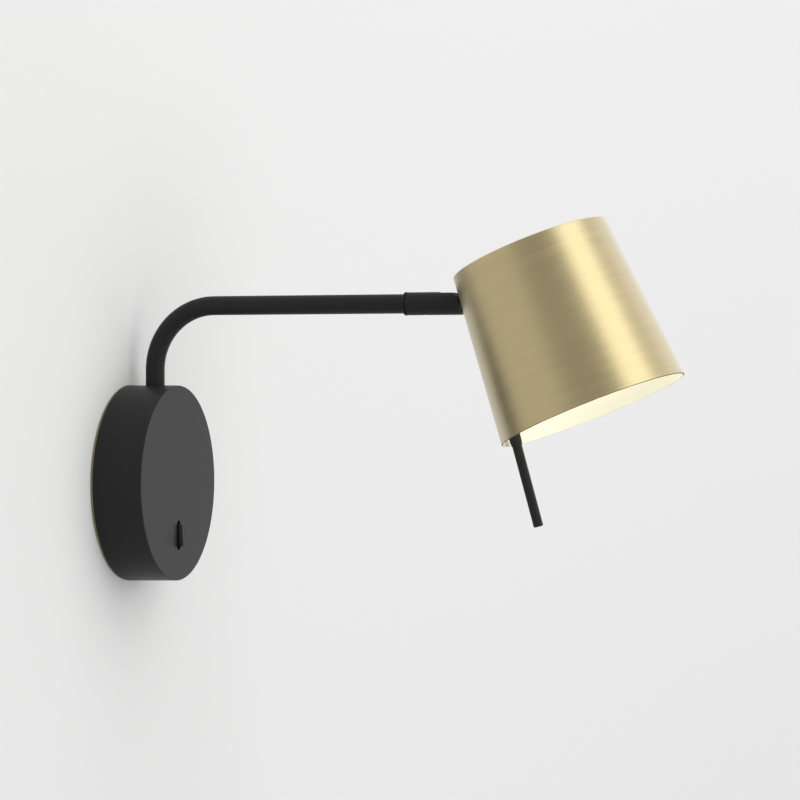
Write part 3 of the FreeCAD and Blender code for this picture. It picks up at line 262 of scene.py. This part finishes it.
def bright_zinc():
    """Turned and pressed steel, bright zinc plated, with a soft blue-grey bloom."""
    material, tree, shader = new_finish("bright_zinc", "#b9bdc1", 1.0, 0.3)
    mottle(tree, shader, grain(tree, 6 * MM, detail=3.0), "#a9adb2", "#c6c8ca")
    vary_gloss(tree, shader, grain(tree, 0.6 * MM), 0.24, 0.36)
    return material


def turned_brass():
    """Free-cutting brass, as it leaves the lathe: bright, with fine turning marks."""
    material, tree, shader = new_finish("turned_brass", "#d9bd7c", 1.0, 0.28)
    marks = grain(tree, 0.2 * MM, stretch=(8, 1, 8))
    mottle(tree, shader, marks, "#cdaf6c", "#e2c88c")
    vary_gloss(tree, shader, marks, 0.22, 0.34)
    return material


def moulded(name, hex_low, hex_high, roughness, texture=0.4 * MM, specular=0.5):
    """A moulded or formed piece, mottled between two near colours.

    The tool leaves a fine texture that keeps its reflections soft. A real one is about 0.1 mm and
    is drawn coarser to show.
    """
    material, tree, shader = new_finish(name, hex_low, 0.0, roughness, specular)
    mottle(tree, shader, grain(tree, 5 * MM, detail=3.0), hex_low, hex_high)
    skin = grain(tree, texture)
    vary_gloss(tree, shader, skin, roughness - 0.05, roughness + 0.05)
    relief(tree, shader, skin, 0.01 * MM, 0.5)
    return material


def lit_frosted_glass():
    """Borosilicate glass, etched inside and lit from within: one soft, warm white glow.

    The etching is finer than the 0.3 mm that it is drawn at to show.
    """
    material, tree, shader = new_finish("lit_frosted_glass", "#fff8e8", 0.0, 0.5)
    glow = grain(tree, 9 * MM, detail=1.0)
    mottle(tree, shader, glow, "#fffbdc", "#ffffe8", socket="Emission Color")
    shader.inputs["Emission Strength"].default_value = LAMP_GLOW
    relief(tree, shader, grain(tree, 0.3 * MM), 0.01 * MM, 0.3)
    return material


def finishes():
    """Each record slot with its material."""
    return {
        "black_enamel": satin_powder_coat(),
        "brushed_brass": shade_brass_and_paint(),
        "passivated_steel": passivated_steel_with_painted_shade(),
        "zinc_steel": bright_zinc(),
        "turned_brass": turned_brass(),
        # The glass fibres near its skin dull the black.
        "black_moulding": moulded("black_glass_filled_nylon", "#1b1b1c", "#242425", 0.5),
        # An etched mould takes nearly all gloss off the lever.
        "black_rocker": moulded(
            "matt_black_polycarbonate", "#1e1e1f", "#242425", 0.8, texture=0.5 * MM, specular=0.02,
        ),
        # A waxy off-white
        "white_acetal": moulded("natural_acetal", "#dedcd2", "#e9e7df", 0.35),
        # A plain black, a little waxy where it is pressed flat
        "black_washer": moulded("black_nylon", "#161616", "#1e1e1e", 0.5),
        # Carbon black leaves rubber without a highlight.
        "black_rubber": moulded("black_rubber", "#191919", "#222222", 0.7, texture=0.3 * MM),
        # Fired and unglazed, so chalky
        "white_ceramic": moulded(
            "unglazed_steatite", "#e0dcd0", "#ece9df", 0.6, texture=0.25 * MM,
        ),
        # A heat-proof resin, white with a low gloss
        "lamp_moulding": moulded("white_lamp_moulding", "#e6e5df", "#f0efea", 0.4),
        "frosted_envelope": lit_frosted_glass(),
        # Soft sleeving, milky and faintly yellow
        "white_silicone": moulded("white_silicone_rubber", "#dcd9d0", "#e6e3da", 0.45),
    }


def dress_nodes():
    """Gives every solid piece the finish of its slot."""
    materials = finishes()
    for part in frame["record"]["subparts"]:
        thing = frame["nodes"][part["node"]]
        thing.data.materials.clear()
        thing.data.materials.append(materials[part["material_slot"]])


def spun_shade():
    """The shade's own mesh with its loose triangles joined, so no seam breaks the brass's shine.

    The normals are weighed by the faces' areas, which keeps the top flat and the wall even right up
    to the edges broken between them.
    """
    shade = bpy.data.objects.new("spun_shade", frame["nodes"]["shade"].data.copy())
    bpy.context.scene.collection.objects.link(shade)
    bpy.ops.object.select_all(action="DESELECT")
    shade.select_set(True)
    bpy.context.view_layer.objects.active = shade
    bpy.ops.mesh.customdata_custom_splitnormals_clear()
    bpy.ops.object.mode_set(mode="EDIT")
    bpy.ops.mesh.select_all(action="SELECT")
    bpy.ops.mesh.remove_doubles(threshold=SEAM_GAP)
    bpy.ops.object.mode_set(mode="OBJECT")
    bpy.ops.object.shade_smooth_by_angle(angle=math.radians(SHARP_OVER_DEG))
    weighed = shade.modifiers.new("even_normals", "WEIGHTED_NORMAL")
    weighed.mode = "FACE_AREA_WITH_ANGLE"
    weighed.keep_sharp = True
    bpy.ops.object.modifier_apply(modifier=weighed.name)
    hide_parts("shade")
    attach(shade, "head")


def plain_plane(name, width, length, middle, turn, finish):
    """A flat sheet of the stage."""
    bpy.ops.mesh.primitive_plane_add(size=1.0, location=middle, rotation=turn)
    plane = bpy.context.object
    plane.name = name
    plane.scale = (width, length, 1)
    bpy.ops.object.transform_apply(location=True, rotation=True, scale=True)
    plane.data.materials.append(finish)
    return plane


def painted_plaster():
    """White emulsion on fine plaster, quite matt, with the faint stipple of a roller.

    It isn't there from behind, nor where the cover hides it.
    """
    material, tree, shader = new_finish("painted_plaster", "#e3e3e3", 0.0, 0.95, specular=0.1)
    relief(tree, shader, grain(tree, 2.2 * MM, detail=4.0), 0.15 * MM, 0.45)
    place = add(tree, "TexCoord").outputs["Object"]
    links = {0: place, 1: (0, WALL_BEHIND, 0)}
    from_middle = add(tree, "VectorMath", links, operation="DISTANCE").outputs["Value"]
    hidden = add(tree, "Math", {0: from_middle, 1: WALL_BOX_R}, operation="LESS_THAN").outputs[0]
    behind = add(tree, "NewGeometry").outputs["Backfacing"]
    away = add(tree, "Math", {0: hidden, 1: behind}, operation="MAXIMUM").outputs[0]
    either(tree, away, shader, add(tree, "BsdfTransparent"))
    return material


def pale_floor():
    """A plain matt floor. It isn't there from below."""
    material, tree, shader = new_finish("pale_floor", "#e0e0e0", 0.0, 0.8)
    mottle(tree, shader, grain(tree, 40 * MM), "#dedede", "#e2e2e2")
    below = add(tree, "NewGeometry").outputs["Backfacing"]
    either(tree, below, shader, add(tree, "BsdfTransparent"))
    return material


def set_stage():
    """A floor, and a wall that casts no shadow, so the studio lights the lamp's back through it."""
    width, height = WALL_HIGH_X - WALL_LOW_X, WALL_TOP - FLOOR_Z
    middle = ((WALL_LOW_X + WALL_HIGH_X) / 2, WALL_BEHIND, FLOOR_Z + height / 2)
    upright = (math.radians(90), 0, 0)
    wall = plain_plane("wall", width, height, middle, upright, painted_plaster())
    wall.visible_shadow = False
    level = (0, 0, 0)
    floor = plain_plane("floor", FLOOR_SIZE, FLOOR_SIZE, (0, 0, FLOOR_Z), level, pale_floor())
    floor.visible_diffuse = False


def outward(heading_deg, rise_deg):
    """The way out from the lamp at a heading from -Y towards +X and at a rise."""
    heading, rise = math.radians(heading_deg), math.radians(rise_deg)
    level = math.cos(rise)
    return Vector((math.sin(heading) * level, -math.cos(heading) * level, math.sin(rise)))


def studio_light(name, turn_deg, rise_deg, width, height, radiance):
    """A soft box that faces the lamp, turned from the camera's side of it towards the room."""
    data = bpy.data.lights.new(name, "AREA")
    data.shape = "RECTANGLE"
    data.size = width
    data.size_y = height
    data.energy = radiance * math.pi * width * height
    light = bpy.data.objects.new(name, data)
    bpy.context.scene.collection.objects.link(light)
    away = outward(CAMERA_HEADING_DEG + turn_deg, rise_deg)
    light.location = LAMP_MIDDLE + away * LIGHT_DISTANCE
    light.rotation_euler = away.to_track_quat("Z", "Y").to_euler()
    light.visible_camera = False


def set_world():
    """A pale studio all round."""
    world = bpy.data.worlds.new("studio")
    bpy.context.scene.world = world
    world.use_nodes = True
    sky = world.node_tree.nodes["Background"]
    sky.inputs["Color"].default_value = colour("#ffffff")
    sky.inputs["Strength"].default_value = WORLD_STRENGTH


def set_camera():
    """A long lens, nearly level, from the lamp's side."""
    data = bpy.data.cameras.new("camera")
    data.sensor_width = CAMERA_SENSOR
    data.lens = CAMERA_LENS
    data.clip_start = CAMERA_SEES_FROM
    data.clip_end = CAMERA_SEES_TO
    camera = bpy.data.objects.new("camera", data)
    bpy.context.scene.collection.objects.link(camera)
    away = outward(CAMERA_HEADING_DEG, CAMERA_RISE_DEG)
    camera.location = CAMERA_LOOKS_AT + away * CAMERA_DISTANCE
    upright = math.radians(90) - math.radians(CAMERA_RISE_DEG)
    camera.rotation_euler = (upright, 0, math.radians(CAMERA_HEADING_DEG))
    bpy.context.scene.camera = camera


set_camera()
dress_nodes()
spun_shade()
set_stage()
studio_light("key", turn_deg=59, rise_deg=18, width=2.8, height=5.8, radiance=1.85)
studio_light("fill", turn_deg=97, rise_deg=10, width=3.4, height=6.0, radiance=0.45)
studio_light("edge", turn_deg=141, rise_deg=10, width=3.2, height=6.0, radiance=0.76)
studio_light("overhead", turn_deg=78, rise_deg=66, width=4.4, height=2.4, radiance=1.15)
set_world()
bpy.context.scene.view_settings.view_transform = "Standard"
